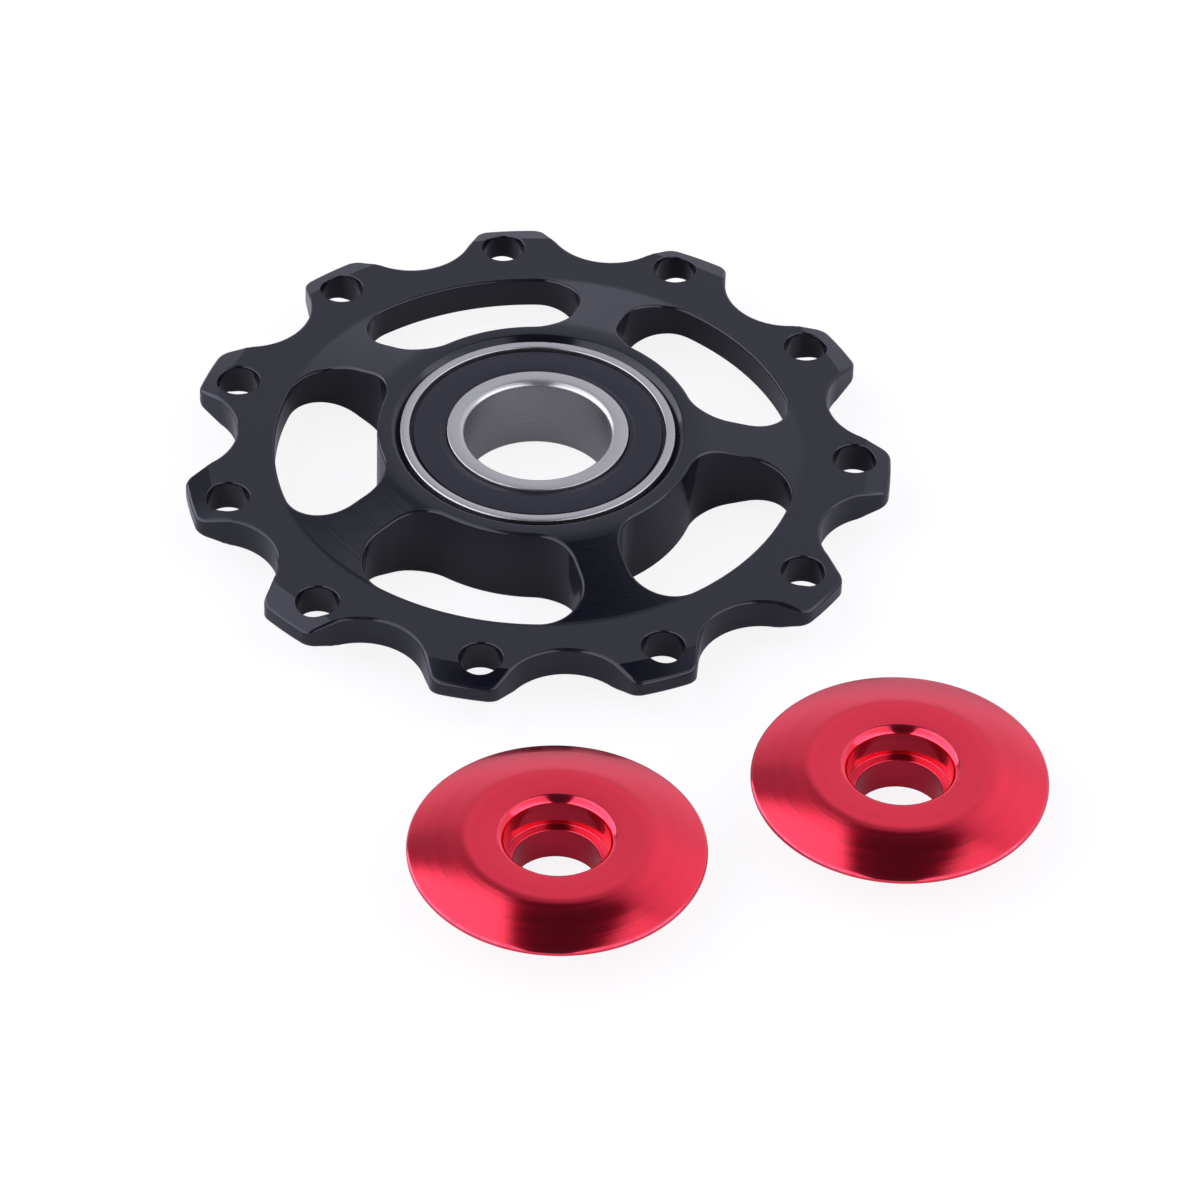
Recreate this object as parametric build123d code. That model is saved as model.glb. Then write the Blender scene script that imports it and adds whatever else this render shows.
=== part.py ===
from build123d import *
import math
import os

# A derailleur jockey wheel with its sealed ball bearing, lying flat, and its two turned covers beside it.
# Millimetres. The origin is on the wheel's axis, halfway through its thickness. +Z is up, along the axis,
# and the middle of the first tooth lies on +X.

# Teeth, for a half-inch chain
chain_pitch = 12.7
tooth_count = 11
gap_radius = 3.92
tip_below_pitch = 0.67
tip_width = 3.88
tip_corner_radius = 0.25
rim_thickness = 2.1
tip_thickness = 1.1
tip_taper_width = 1.8
tip_overrun = 0.3
tooth_hole_diameter = 2.55
tooth_hole_inset = 2.27
tooth_hole_turn = 1.8

# Web, spokes and windows
rim_band = 2.27
spoke_count = 5
spoke_width = 3.05
spoke_turn = 3.7
window_inset = 0.12
spoke_side_flat = 1.0

# Hub
hub_wall = 1.4
hub_stand = 0.1
hub_land_width = 1.2
hub_round = 4.0
seat_chamfer = 0.45
seat_clearance = 0.01

# Bearing rings
bearing_bore = 9.0
bearing_diameter = 17.0
bearing_width = 5.0
inner_ring_wall = 1.1
outer_ring_wall = 1.1
bore_chamfer = 0.25
ring_corner = 0.15

# Balls and their grooves
ball_count = 7
ball_diameter = 2.381
groove_conformity = 1.04
race_clearance = 0.02

# Seals
seal_seat_depth = 0.45
seal_thickness = 0.4
seal_recess = 0.15
seal_seat_clearance = 0.01
seal_lip_clearance = 0.05

# Ball cage
cage_width = 0.8
cage_back = 0.25
prong_height = 0.45
pocket_clearance = 0.06

# Covers
cover_diameter = 17.75
cover_flat_diameter = 11.1
cover_edge = 0.32
cover_crown = 1.01
shoulder_diameter = 11.0
shoulder_height = 0.5
neck_clearance = 0.02
neck_gap = 0.26
neck_chamfer = 0.15
bolt_hole_diameter = 5.2
counterbore_diameter = 6.28
counterbore_depth = 2.04
counterbore_chamfer = 0.39

# Where the covers lie, on the surface that the hub rests on: gap to the tooth tips, and angle from +X
front_cover_gap = 4.62
front_cover_angle = -84.5
side_cover_gap = 5.32
side_cover_angle = -49.8

# Radii and heights that follow
pitch_radius = chain_pitch / (2 * math.sin(math.pi / tooth_count))
tip_radius = pitch_radius - tip_below_pitch
root_radius = pitch_radius - gap_radius
crease_radius = root_radius - rim_band
seat_radius = bearing_diameter / 2 + seat_clearance
window_outer_radius = crease_radius - window_inset
window_inner_radius = seat_radius + hub_wall
window_corner_radius = (window_outer_radius - window_inner_radius - spoke_side_flat) / 2
land_radius = seat_radius + seat_chamfer + hub_land_width
hub_half = bearing_width / 2 + hub_stand
rim_half = rim_thickness / 2
tip_half = tip_thickness / 2
ball_radius = ball_diameter / 2
ball_circle_radius = (bearing_bore + bearing_diameter) / 4
groove_radius = ball_radius * groove_conformity
inner_shoulder_radius = bearing_bore / 2 + inner_ring_wall
outer_shoulder_radius = bearing_diameter / 2 - outer_ring_wall
seal_seat_radius = outer_shoulder_radius + seal_seat_depth
seal_outer_face = bearing_width / 2 - seal_recess
seal_inner_face = seal_outer_face - seal_thickness
table_height = -hub_half


def polar(radius, degrees):
    """The point at a radius and an angle from +X."""
    return Vector(radius, 0).rotate(Axis.Z, degrees)


def flipped(point):
    """The point's mirror across the X axis."""
    return Vector(point.X, -point.Y)


def turned(face):
    """A solid turned about the Z axis from a section drawn as (radius, height)."""
    return revolve(Plane.XZ * face, Axis.Z)


def mirrored(upper):
    """A section's points above the middle plane, followed by their mirror below it."""
    return upper + [(radius, -height) for radius, height in reversed(upper)]


def corners_at(face, points):
    """The face's corners that lie at the given points."""
    return [face.vertices().sort_by_distance(point)[0] for point in points]


def gap_outline():
    """One tooth gap, centred on +X: an arc for the chain's roller and a straight flank to each tip."""
    tip_angle = 180 / tooth_count - math.degrees(math.asin(tip_width / 2 / tip_radius))
    tip = polar(tip_radius, tip_angle)
    centre = Vector(pitch_radius, 0)
    to_tip = tip - centre
    tangent_angle = math.degrees(math.acos(gap_radius / to_tip.length))
    start = centre + to_tip.normalized().rotate(Axis.Z, tangent_angle) * gap_radius
    beyond = tip + (tip - start)
    return make_face(
        [
            Line(beyond, start),
            ThreePointArc(start, Vector(root_radius, 0), flipped(start)),
            Line(flipped(start), flipped(beyond)),
            Line(flipped(beyond), beyond),
        ]
    )


def window_outline():
    """One window of the web, centred on +X: its rounded corners leave a short flat on each spoke's side."""
    spoke_angle = 180 / spoke_count
    outer_angle = spoke_angle - math.degrees(math.asin(spoke_width / 2 / window_outer_radius))
    inner_angle = spoke_angle - math.degrees(math.asin(spoke_width / 2 / window_inner_radius))
    outer = polar(window_outer_radius, outer_angle)
    inner = polar(window_inner_radius, inner_angle)
    face = make_face(
        [
            CenterArc((0, 0), window_outer_radius, -outer_angle, 2 * outer_angle),
            Line(outer, inner),
            CenterArc((0, 0), window_inner_radius, -inner_angle, 2 * inner_angle),
            Line(flipped(inner), flipped(outer)),
        ]
    )
    return fillet(face.vertices(), window_corner_radius)


def wheel_plan():
    """The wheel seen along its axis: teeth with their holes, spokes and windows."""
    plan = Sketch() + Circle(tip_radius)
    plan -= PolarLocations(0, tooth_count, start_angle=180 / tooth_count) * gap_outline()
    tip_corners = plan.vertices().group_by(SortBy.DISTANCE)[-1]
    plan = fillet(tip_corners, tip_corner_radius)
    plan -= PolarLocations(0, spoke_count, start_angle=spoke_turn + 180 / spoke_count) * window_outline()
    hole = Circle(tooth_hole_diameter / 2)
    plan -= PolarLocations(tip_radius - tooth_hole_inset, tooth_count, start_angle=tooth_hole_turn) * hole
    return plan


def wheel_section():
    """The wheel cut along its axis: hub with its land, coned web, flat rim and tapered tips."""
    land = Vector(land_radius, hub_half)
    taper_slope = (rim_half - tip_half) / tip_taper_width
    face = make_face(
        Polyline(
            *mirrored(
                [
                    (seat_radius, hub_half - seat_chamfer),
                    (seat_radius + seat_chamfer, hub_half),
                    (land_radius, hub_half),
                    (crease_radius, rim_half),
                    (tip_radius - tip_taper_width, rim_half),
                    (tip_radius + tip_overrun, tip_half - taper_slope * tip_overrun),
                ]
            ),
            close=True,
        )
    )
    return fillet(corners_at(face, [land, flipped(land)]), hub_round)


def toothed_wheel():
    """The plan, carried through the turned section."""
    return turned(wheel_section()) & extrude(wheel_plan(), hub_half, both=True)


def bearing_outer_ring():
    """Outer ring: pressed into the hub, with the ball groove and a stepped seat for each seal."""
    outside = bearing_diameter / 2
    face = bearing_width / 2
    ring = make_face(
        Polyline(
            *mirrored(
                [
                    (outer_shoulder_radius, seal_inner_face),
                    (seal_seat_radius, seal_inner_face),
                    (seal_seat_radius, face),
                    (outside - ring_corner, face),
                    (outside, face - ring_corner),
                ]
            ),
            close=True,
        )
    )
    groove_centre = ball_circle_radius + ball_radius + race_clearance - groove_radius
    return turned(ring - Pos(groove_centre, 0) * Circle(groove_radius))


def bearing_inner_ring():
    """Inner ring: bore for the covers' necks, and the ball groove."""
    inside = bearing_bore / 2
    face = bearing_width / 2
    ring = make_face(
        Polyline(
            *mirrored(
                [
                    (inside, face - bore_chamfer),
                    (inside + bore_chamfer, face),
                    (inner_shoulder_radius - ring_corner, face),
                    (inner_shoulder_radius, face - ring_corner),
                ]
            ),
            close=True,
        )
    )
    groove_centre = ball_circle_radius - ball_radius - race_clearance + groove_radius
    return turned(ring - Pos(groove_centre, 0) * Circle(groove_radius))


def upper_seal():
    """Rubber seal: its rim sits on the outer ring's step, its lip runs just off the inner ring."""
    lip = inner_shoulder_radius + seal_lip_clearance
    rim = seal_seat_radius - seal_seat_clearance
    return turned(
        make_face(
            Polyline(
                (lip, seal_inner_face),
                (rim, seal_inner_face),
                (rim, seal_outer_face),
                (lip, seal_outer_face),
                close=True,
            )
        )
    )


def ball():
    """One ball, on +X."""
    return Pos(ball_circle_radius, 0) * Sphere(ball_radius)


def ball_cage():
    """Moulded crown: a ring under the balls, with prongs between them that hold them in."""
    pocket_radius = ball_radius + pocket_clearance
    inside = ball_circle_radius - cage_width / 2
    base = -pocket_radius - cage_back
    band = Circle(inside + cage_width) - Circle(inside)
    ring = Pos(0, 0, base) * extrude(band, prong_height - base)
    pocket = Pos(ball_circle_radius, 0) * Rot(0, 90, 0) * Cylinder(pocket_radius, 2 * cage_width)
    return ring - PolarLocations(0, ball_count) * pocket


def cover():
    """One turned cover, standing on its neck: stepped bolt hole, flat crown and bevelled flange."""
    neck = bearing_bore / 2 - neck_clearance
    underside = bearing_width / 2 - neck_gap / 2 + shoulder_height
    rim_top = underside + cover_edge
    top = rim_top + cover_crown
    mouth = counterbore_diameter / 2
    bolt = bolt_hole_diameter / 2
    return turned(
        make_face(
            Polyline(
                (cover_flat_diameter / 2, top),
                (mouth + counterbore_chamfer, top),
                (mouth, top - counterbore_chamfer),
                (mouth, top - counterbore_depth),
                (bolt, top - counterbore_depth),
                (bolt, 0),
                (neck - neck_chamfer, 0),
                (neck, neck_chamfer),
                (neck, underside - shoulder_height),
                (shoulder_diameter / 2, underside - shoulder_height),
                (shoulder_diameter / 2, underside),
                (cover_diameter / 2, underside),
                (cover_diameter / 2, rim_top),
                close=True,
            )
        )
    )


def save(node, shape):
    """Write one piece under its own name."""
    export_step(shape, os.path.join("parts", node + ".step"))


os.makedirs("parts", exist_ok=True)

save("toothed_wheel", toothed_wheel())
save("bearing_outer_ring", bearing_outer_ring())
save("bearing_inner_ring", bearing_inner_ring())

for number, place in enumerate(PolarLocations(0, ball_count), start=1):
    save(f"ball_{number}", place * ball())

save("ball_cage", ball_cage())

seal = upper_seal()
save("upper_seal", seal)
save("lower_seal", mirror(seal, about=Plane.XY))

for node, gap, angle in (
    ("front_cover", front_cover_gap, front_cover_angle),
    ("side_cover", side_cover_gap, side_cover_angle),
):
    place = polar(tip_radius + gap + cover_diameter / 2, angle)
    save(node, Pos(place.X, place.Y, table_height) * cover())
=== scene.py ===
# %% [markdown]
# # A derailleur jockey wheel, dressed in Blender
# The object is a small toothed wheel with a sealed ball bearing in its hub. It lies flat on a table, and the two
# red covers that close the bearing lie beside it. The CAD model already has every piece at its real size, so it is
# loaded as a fixed frame, and each piece made here sits exactly where its CAD node sits. The CAD pieces have knife
# sharp edges and no finish. Here they get broken edges, turned and anodised surfaces, and the light of the photograph.

# %% Load the frame and keep its box
import math
import bpy
from mathutils import Matrix, Vector


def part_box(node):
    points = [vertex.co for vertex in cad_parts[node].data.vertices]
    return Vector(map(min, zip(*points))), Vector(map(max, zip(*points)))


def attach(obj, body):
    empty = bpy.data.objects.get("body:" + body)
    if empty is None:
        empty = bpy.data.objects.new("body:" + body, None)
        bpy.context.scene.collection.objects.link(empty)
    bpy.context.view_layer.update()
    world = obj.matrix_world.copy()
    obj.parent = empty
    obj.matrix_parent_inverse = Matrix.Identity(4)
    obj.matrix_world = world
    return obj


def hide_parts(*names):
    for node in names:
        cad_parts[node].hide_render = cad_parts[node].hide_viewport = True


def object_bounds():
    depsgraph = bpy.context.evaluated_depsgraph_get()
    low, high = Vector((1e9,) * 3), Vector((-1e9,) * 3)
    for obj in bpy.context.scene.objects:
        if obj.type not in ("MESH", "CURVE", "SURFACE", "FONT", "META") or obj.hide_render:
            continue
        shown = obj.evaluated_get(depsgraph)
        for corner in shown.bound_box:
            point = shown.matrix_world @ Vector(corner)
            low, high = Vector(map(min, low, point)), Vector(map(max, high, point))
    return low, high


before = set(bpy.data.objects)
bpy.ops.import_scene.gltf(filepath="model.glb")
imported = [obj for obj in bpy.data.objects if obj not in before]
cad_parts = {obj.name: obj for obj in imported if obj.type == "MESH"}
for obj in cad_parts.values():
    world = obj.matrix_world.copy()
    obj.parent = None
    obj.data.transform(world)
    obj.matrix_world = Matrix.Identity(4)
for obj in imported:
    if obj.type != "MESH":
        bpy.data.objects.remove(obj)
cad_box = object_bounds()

mm = 0.001
print("CAD box in mm:", [[round(v / mm, 2) for v in corner] for corner in cad_box])

# %% [markdown]
# ## The camera
# A product photograph is taken from far away with a long lens, so that near and far teeth look nearly the same
# size. The camera could be placed by eye, but it was fitted instead: the holes in the teeth lie on a known circle, and
# the eleven ellipses that they make in the photograph give the distance, the height and the small roll. The camera
# starts above the rim's top face, tips back, rolls a little and steps away along its own axis.

# %% Place the camera
rim_half = 1.05
camera_turn, camera_height, camera_roll = 2.2, 41.79, 1.642
camera_step = Vector((3.867, -9.406, 515.8))
sensor = 36.0
focal_in_pixels, photo_width = 8350.3, 1200


def rotation(degrees, axis):
    return Matrix.Rotation(math.radians(degrees), 4, axis)


bpy.ops.object.camera_add()
camera = bpy.context.object
camera.name = "photo_camera"
camera.matrix_world = (
    Matrix.Translation((0, 0, rim_half * mm))
    @ rotation(camera_turn, "Z")
    @ rotation(90 - camera_height, "X")
    @ rotation(camera_roll, "Z")
    @ Matrix.Translation(camera_step * mm)
)
camera.data.sensor_width = sensor
camera.data.lens = focal_in_pixels / photo_width * sensor
camera.data.clip_start = 0.01
camera.data.clip_end = 20
bpy.context.scene.camera = camera
print("camera at", [round(v, 4) for v in camera.matrix_world.translation], "lens", round(camera.data.lens, 1), "mm")

# %% [markdown]
# ## The table
# The photograph has a white ground with almost no shadow. A white floor alone would look grey under the wheel, where
# little light reaches it, so the floor's material shows most of its white directly to the camera, by the Light Path
# node, and keeps a thin layer of the real light and shadow, which sets the pieces down on the table. Metal sees some
# of that white too, but mostly the real floor, and that keeps the walls of the windows and holes dark.

# %% Lay the floor
floor_size = 6.0
floor_gap = 0.01
table_height = cad_box[0].z
bpy.ops.mesh.primitive_plane_add(size=floor_size, location=(0, 0, table_height - floor_gap * mm))
floor = bpy.context.object
floor.name = "floor"
print("floor at", round(table_height / mm, 2), "mm")

# %% Paint the floor
white_to_camera, white_to_metal = 0.86, 0.06
real_paleness, paler_to_camera = 0.62, 0.60


def feed(socket, term):
    """Set a socket to a number or a colour, or link another node's output to it."""
    if isinstance(term, tuple):
        socket.default_value = (*term, 1)
    elif isinstance(term, (int, float)):
        socket.default_value = term
    else:
        socket.id_data.links.new(term, socket)


def calc(operation, *terms):
    """A Math node's result, in the node tree that its terms come from."""
    source = next(term for term in terms if not isinstance(term, (int, float)))
    node = source.id_data.nodes.new("ShaderNodeMath")
    node.operation = operation
    for socket, term in zip(node.inputs, terms):
        feed(socket, term)
    return node.outputs[0]


floor_paint = bpy.data.materials.new("white_table")
floor_paint.use_nodes = True
tree = floor_paint.node_tree
tree.nodes.clear()
rays = tree.nodes.new("ShaderNodeLightPath").outputs
lit = tree.nodes.new("ShaderNodeBsdfDiffuse")
paleness = calc("MULTIPLY_ADD", rays["Is Camera Ray"], paler_to_camera, real_paleness)
feed(lit.inputs["Color"], paleness)
shown = tree.nodes.new("ShaderNodeEmission")
metal_rays = calc("MAXIMUM", rays["Is Glossy Ray"], rays["Is Transmission Ray"])
camera_share = calc("MULTIPLY", rays["Is Camera Ray"], white_to_camera)
mix = tree.nodes.new("ShaderNodeMixShader")
feed(mix.inputs["Fac"], calc("MULTIPLY_ADD", metal_rays, white_to_metal, camera_share))
feed(mix.inputs[1], lit.outputs[0])
feed(mix.inputs[2], shown.outputs[0])
feed(tree.nodes.new("ShaderNodeOutputMaterial").inputs["Surface"], mix.outputs[0])
floor.data.materials.append(floor_paint)
print("floor paint:", len(tree.nodes), "nodes")

# %% [markdown]
# ## The light
# Gloss is a picture of the room. The bevels of the red covers work like a fisheye lens: they show a dark square
# opening straight above, a large bright cloth on the left, a smaller one on the right, and a wall behind that gets
# darker towards the floor and the left. Lamps could stand in for these, but such a tent surrounds the object, so it
# is painted on the world instead. A ray's direction, divided by its height, is its place on a flat ceiling, where each
# cloth is a region with straight, soft edges. The room is a little cold, which gives the black wheel its blue cast.

# %% Directions in the room
lowest_height = 0.05
slant = 0.795
world = bpy.data.worlds.new("studio")
bpy.context.scene.world = world
world.use_nodes = True
room = world.node_tree
room.nodes.clear()
axes = room.nodes.new("ShaderNodeSeparateXYZ")
feed(axes.inputs[0], room.nodes.new("ShaderNodeTexCoord").outputs["Generated"])
to_right, to_back, to_top = axes.outputs
above = calc("MAXIMUM", to_top, lowest_height)
ceiling_x = calc("DIVIDE", to_right, above)
ceiling_y = calc("DIVIDE", to_back, above)
slanted = calc("MULTIPLY_ADD", ceiling_x, slant, ceiling_y)
print("room directions:", len(room.nodes), "nodes")

# %% Wall
wall_by_height = [
    (0.0, 0.50), (0.09, 0.57), (0.16, 0.67), (0.25, 0.76), (0.31, 0.73), (0.38, 0.70), (0.47, 0.67), (0.55, 0.71),
    (0.63, 0.79), (0.71, 0.84), (0.79, 0.86), (0.87, 0.86), (1.0, 0.80),
]
wall_by_slant = [
    (0.0, 0.36), (0.20, 0.38), (0.27, 0.44), (0.34, 0.50), (0.38, 0.62), (0.43, 0.76), (0.52, 0.84), (0.62, 0.90),
    (0.72, 0.94), (0.92, 1.0), (1.0, 1.0),
]
wall_by_side = [(0.0, 1.0), (0.53, 1.0), (0.60, 1.04), (0.65, 1.10), (0.73, 1.20), (1.0, 1.25)]


def levels_along(value, stops):
    """A smooth curve of grey levels, as (position, level) pairs."""
    node = value.id_data.nodes.new("ShaderNodeValToRGB")
    elements = node.color_ramp.elements
    while len(elements) < len(stops):
        elements.new(0.5)
    for element, (position, level) in zip(elements, stops):
        element.position = position
        element.color = (level, level, level, 1)
    feed(node.inputs["Fac"], value)
    return node.outputs["Color"]


by_height = levels_along(to_top, wall_by_height)
by_slant = levels_along(calc("MULTIPLY", slanted, 0.5), wall_by_slant)
by_side = levels_along(calc("MULTIPLY_ADD", to_right, 0.5, 0.5), wall_by_side)
wall = calc("MULTIPLY", by_height, calc("MULTIPLY", by_slant, by_side))
print("wall:", len(room.nodes), "nodes so far")

# %% Opening and cloths
widening_to_camera = 0.25
right_lean, lean_depth = 0.35, 0.35
left_edge, right_edge, back_edge = (-0.27, -0.17), (0.14, 0.26), (0.39, 0.51)
left_cloth_end, right_cloth_end = (0.12, 0.36), (0.33, 0.45)


def soft_step(value, start, end):
    """0 before start, 1 after end, and a smooth rise between them."""
    node = value.id_data.nodes.new("ShaderNodeMapRange")
    node.interpolation_type = "SMOOTHSTEP"
    feed(node.inputs["Value"], value)
    node.inputs["From Min"].default_value = start
    node.inputs["From Max"].default_value = end
    return node.outputs["Result"]


def rest_of(mask):
    """What a mask leaves over."""
    return calc("SUBTRACT", 1.0, mask)


nearer = calc("MAXIMUM", calc("MULTIPLY", ceiling_y, -1.0), 0.0)
widening = calc("MULTIPLY", nearer, widening_to_camera)
deeper = calc("MAXIMUM", calc("MINIMUM", ceiling_y, lean_depth), 0.0)
right_shift = calc("ADD", widening, calc("MULTIPLY", deeper, right_lean))
past_left = soft_step(calc("ADD", ceiling_x, widening), *left_edge)
past_right = soft_step(calc("SUBTRACT", ceiling_x, right_shift), *right_edge)
past_back = soft_step(ceiling_y, *back_edge)
between_cloths = calc("MULTIPLY", past_left, rest_of(past_right))
opening = calc("MULTIPLY", between_cloths, rest_of(past_back))
past_left_cloth = soft_step(slanted, *left_cloth_end)
past_right_cloth = soft_step(ceiling_y, *right_cloth_end)
left_cloth = calc("MULTIPLY", rest_of(past_left), rest_of(past_left_cloth))
right_cloth = calc("MULTIPLY", past_right, rest_of(past_right_cloth))
print("cloths:", len(room.nodes), "nodes so far")

# %% Light the room
opening_level = 0.065
left_levels, right_levels = (1.6, 2.4), (1.05, 2.25)
far_from, far_to = 0.8, 1.5
cold_tint = (0.975, 0.975, 1.19)


def vary(value, low, high):
    """Spread a 0 to 1 value between two levels."""
    return calc("MULTIPLY_ADD", value, high - low, low)


def lay_over(under, mask, level):
    """Cover a level with another one where a mask is 1."""
    rise = calc("SUBTRACT", level, under)
    return calc("MULTIPLY_ADD", rise, mask, under)


far_side = soft_step(calc("ABSOLUTE", ceiling_x), far_from, far_to)
light = lay_over(wall, opening, opening_level)
light = lay_over(light, left_cloth, vary(far_side, *left_levels))
light = lay_over(light, right_cloth, vary(far_side, *right_levels))
cold = room.nodes.new("ShaderNodeVectorMath")
cold.operation = "SCALE"
cold.inputs[0].default_value = cold_tint
feed(cold.inputs["Scale"], light)
background = room.nodes.new("ShaderNodeBackground")
feed(background.inputs["Color"], cold.outputs[0])
feed(room.nodes.new("ShaderNodeOutputWorld").inputs["Surface"], background.outputs[0])
print("room:", len(room.nodes), "nodes")

# %% [markdown]
# ## Drawing tools
# Every new piece starts as a pencil line. A tiny plane merged to its middle gives one point, extruding that point
# draws a straight line, and the spin tool swings it round a centre like a compass. Outlines could be typed in as
# lists of points, but lines and arcs keep their true tangents and can be drawn again a little larger.

# %% Pencil and compass
UP = Vector((0, 0, 1))
TO_THE_BACK = Vector((0, 1, 0))
pencil_dot = 0.1
closing_gap = 0.002


def new_piece(name):
    """A new mesh object with nothing in it yet, in edit mode."""
    bpy.ops.mesh.primitive_plane_add(size=mm)
    piece = bpy.context.object
    piece.name = piece.data.name = name
    bpy.ops.object.mode_set(mode="EDIT")
    bpy.ops.mesh.select_mode(type="VERT")
    bpy.ops.mesh.select_all(action="SELECT")
    bpy.ops.mesh.delete(type="VERT")
    return piece


def put_pencil(point):
    """Start a line at a point: a small plane, merged to its middle."""
    bpy.ops.mesh.select_all(action="DESELECT")
    bpy.ops.mesh.primitive_plane_add(size=pencil_dot * mm, location=point)
    bpy.ops.mesh.merge(type="CENTER")
    return point


def line(here, there):
    """Draw a straight line from the last point."""
    bpy.ops.mesh.extrude_vertices_move(TRANSFORM_OT_translate={"value": tuple(there - here)})
    return there


def arc(here, centre, turn, steps, axis=UP):
    """Swing the last point round a centre, by the right-hand rule. With no window the spin tool turns the other way."""
    flip = -1 if turn > 0 else 1
    bpy.ops.mesh.spin(steps=steps, angle=abs(turn), center=centre, axis=tuple(flip * axis))
    return centre + Matrix.Rotation(turn, 3, axis) @ (here - centre)


def close_line():
    """Merge the end of the line with its start."""
    bpy.ops.mesh.select_all(action="SELECT")
    bpy.ops.mesh.remove_doubles(threshold=closing_gap * mm)


print("lines close within", closing_gap, "mm")

# %% [markdown]
# ### Picking and shading
# By hand, faces and edges are clicked on. Here they are picked by a test on their place or normal. Plain smooth
# shading would make the large faces look swollen, so broken edges count as weak faces and all others as strong ones,
# and weighted normals then put all of the rounding into the edges.

# %% Pick and shade
EDGE_MARK = "broken_edge"


def pick(piece, kind, test):
    """Select only the vertices, edges or faces of a piece that pass a test, and stay in edit mode."""
    bpy.ops.object.mode_set(mode="EDIT")
    bpy.ops.mesh.select_mode(type=kind)
    bpy.ops.mesh.select_all(action="DESELECT")
    bpy.ops.object.mode_set(mode="OBJECT")
    items = {"VERT": piece.data.vertices, "EDGE": piece.data.edges, "FACE": piece.data.polygons}[kind]
    picked = [item for item in items if test(item)]
    for item in picked:
        item.select = True
    bpy.ops.object.mode_set(mode="EDIT")
    return len(picked)


def work_on(piece):
    """Make a piece the only one selected, in object mode."""
    bpy.ops.object.select_all(action="DESELECT")
    piece.select_set(True)
    bpy.context.view_layer.objects.active = piece


def shade_like_metal(piece, sharp_angle):
    """Smooth shading in which the large faces stay flat and only the broken edges between them look round."""
    bpy.ops.object.mode_set(mode="OBJECT")
    work_on(piece)
    broken = [mark.value > 0.5 for mark in piece.data.attributes[EDGE_MARK].data]
    pick(piece, "FACE", lambda f: broken[f.index])
    bpy.ops.mesh.mod_weighted_strength(set=True, face_strength="WEAK")
    bpy.ops.mesh.select_all(action="INVERT")
    bpy.ops.mesh.mod_weighted_strength(set=True, face_strength="STRONG")
    bpy.ops.object.mode_set(mode="OBJECT")
    bpy.ops.object.shade_smooth_by_angle(angle=math.radians(sharp_angle))
    bpy.ops.object.modifier_add(type="WEIGHTED_NORMAL")
    weighted = piece.modifiers[-1]
    weighted.keep_sharp = True
    weighted.use_face_influence = True
    bpy.ops.object.modifier_apply(modifier=weighted.name)


print("edge mark:", EDGE_MARK)

# %% [markdown]
# ### The lathe
# The rings, the seals and the covers are all turned. A cylinder could be cut and bevelled into each of them, but a
# lathe works from a section, and so does this: half of the section is drawn, its corners are broken while they are
# still single points, and the spin tool turns it once round.

# %% Draw a section
arc_step = 0.14


def draw_section(name, corners):
    """A closed half section from (radius, height) corners in mm, left round. A third number bulges the way to it."""
    points = [Vector((corner[0], 0, corner[1])) * mm for corner in corners]
    piece = new_piece(name)
    here = put_pencil(points[0])
    for there, corner in zip(points[1:] + points[:1], corners[1:] + corners[:1]):
        if len(corner) == 2:
            here = line(here, there)
            continue
        side, depth = math.copysign(1, corner[2]), abs(corner[2]) * mm
        chord = there - here
        radius = chord.length**2 / (8 * depth) + depth / 2
        outward = Vector((chord.z, 0, -chord.x)).normalized() * side
        centre = (here + there) / 2 + outward * (depth - radius)
        turn = -2 * math.asin(chord.length / (2 * radius)) * side
        here = arc(here, centre, turn, max(3, round(chord.length / (arc_step * mm))), TO_THE_BACK)
    close_line()
    return piece


def break_corners(piece, corners, size, steps=3):
    """Round corners of the drawn section, as a file breaks an edge."""
    spots = [Vector((corner[0], 0, corner[1])) * mm for corner in corners]
    picked = pick(piece, "VERT", lambda v: any((v.co - spot).length < 0.003 * mm for spot in spots))
    assert picked == len(corners), (piece.name, corners, picked)
    bpy.ops.mesh.bevel(affect="VERTICES", offset=size * mm, segments=steps)


print("arcs in steps of", arc_step, "mm")

# %% Turn it on the lathe
lathe_steps = 192
broken_edge_width = 0.12
turned_sharp_angle = 40


def turn_on_lathe(piece, centre=Vector((0, 0, 0))):
    """Spin the section once round, mark its narrow faces as broken edges and move the piece to its place."""
    bpy.ops.mesh.select_mode(type="VERT")
    bpy.ops.mesh.select_all(action="SELECT")
    bpy.ops.mesh.spin(steps=lathe_steps, angle=2 * math.pi, center=(0, 0, 0), axis=(0, 0, 1))
    bpy.ops.mesh.select_all(action="SELECT")
    bpy.ops.mesh.remove_doubles(threshold=0.001 * mm)
    bpy.ops.mesh.normals_make_consistent()
    bpy.ops.object.mode_set(mode="OBJECT")
    mark = piece.data.attributes.new(EDGE_MARK, "FLOAT", "FACE")
    for face, value in zip(piece.data.polygons, mark.data):
        width = face.area / (math.hypot(face.center.x, face.center.y) * 2 * math.pi / lathe_steps)
        value.value = float(width < broken_edge_width * mm)
    bpy.ops.object.mode_set(mode="EDIT")
    bpy.ops.transform.translate(value=tuple(centre))
    shade_like_metal(piece, turned_sharp_angle)
    print(piece.name, len(piece.data.vertices), "points", len(piece.data.polygons), "faces")


print("lathe:", lathe_steps, "steps a turn")

# %% [markdown]
# ## The bearing
# A small ball bearing has two hardened steel rings, ground on their faces and rounded at their corners, with a groove
# for the balls between them. A rubber seal closes each side. Rings and seals are turned from their sections, with each
# corner broken as the maker breaks it. The balls and their cage are already right in CAD, so they only get a finish.

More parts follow.
